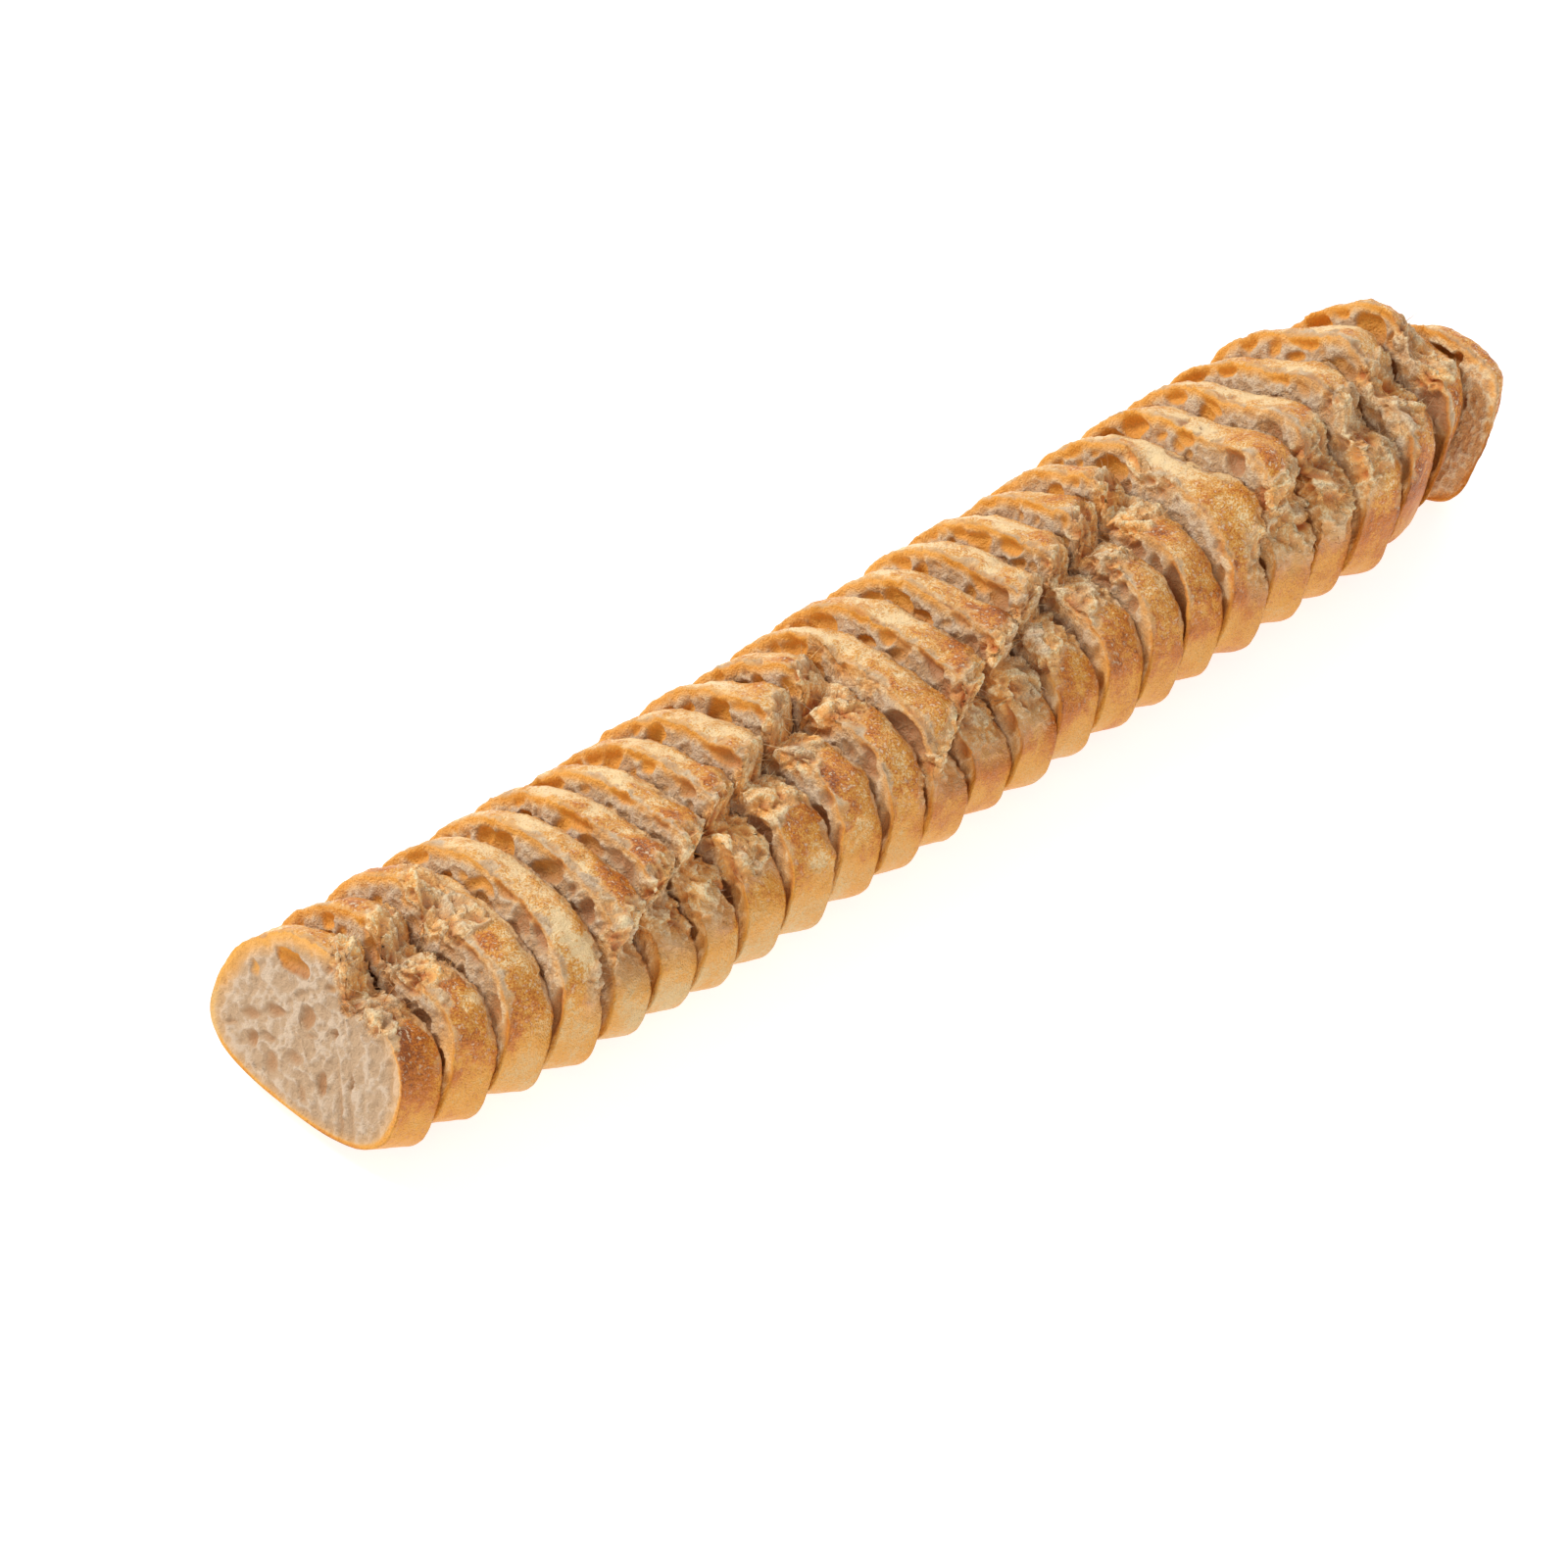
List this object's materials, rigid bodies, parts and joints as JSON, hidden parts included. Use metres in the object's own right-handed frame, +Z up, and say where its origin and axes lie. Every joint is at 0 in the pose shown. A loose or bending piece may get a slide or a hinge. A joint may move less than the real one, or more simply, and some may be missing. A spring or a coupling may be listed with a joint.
{
  "type": "sliced sourdough loaf",
  "caption": "Long slashed sourdough loaf, cut crosswise and still lying in its row, with every slice leaning back on the next and a rounded heel at the far end.",
  "frame": {"origin": "under the middle of the row, on the surface that it rests on", "axes": "+X runs along the row from the open cut face to the heel, +Y is the side away from the slashes, +Z is up"},
  "size_m": [0.3876, 0.077, 0.0504],
  "materials": {
    "bread": "matte golden crust with flour specks, and open cream-coloured crumb on the cut faces"
  },
  "bodies": {
    "root": {"slice_01": "bread", "slice_02": "bread", "slice_03": "bread", "slice_04": "bread", "slice_05": "bread", "slice_06": "bread", "slice_07": "bread", "slice_08": "bread", "slice_09": "bread", "slice_10": "bread", "slice_11": "bread", "slice_12": "bread", "slice_13": "bread", "slice_14": "bread", "slice_15": "bread", "slice_16": "bread", "slice_17": "bread", "slice_18": "bread", "slice_19": "bread", "slice_20": "bread", "slice_21": "bread", "slice_22": "bread", "slice_23": "bread", "slice_24": "bread", "slice_25": "bread"}
  },
  "joints": []
}
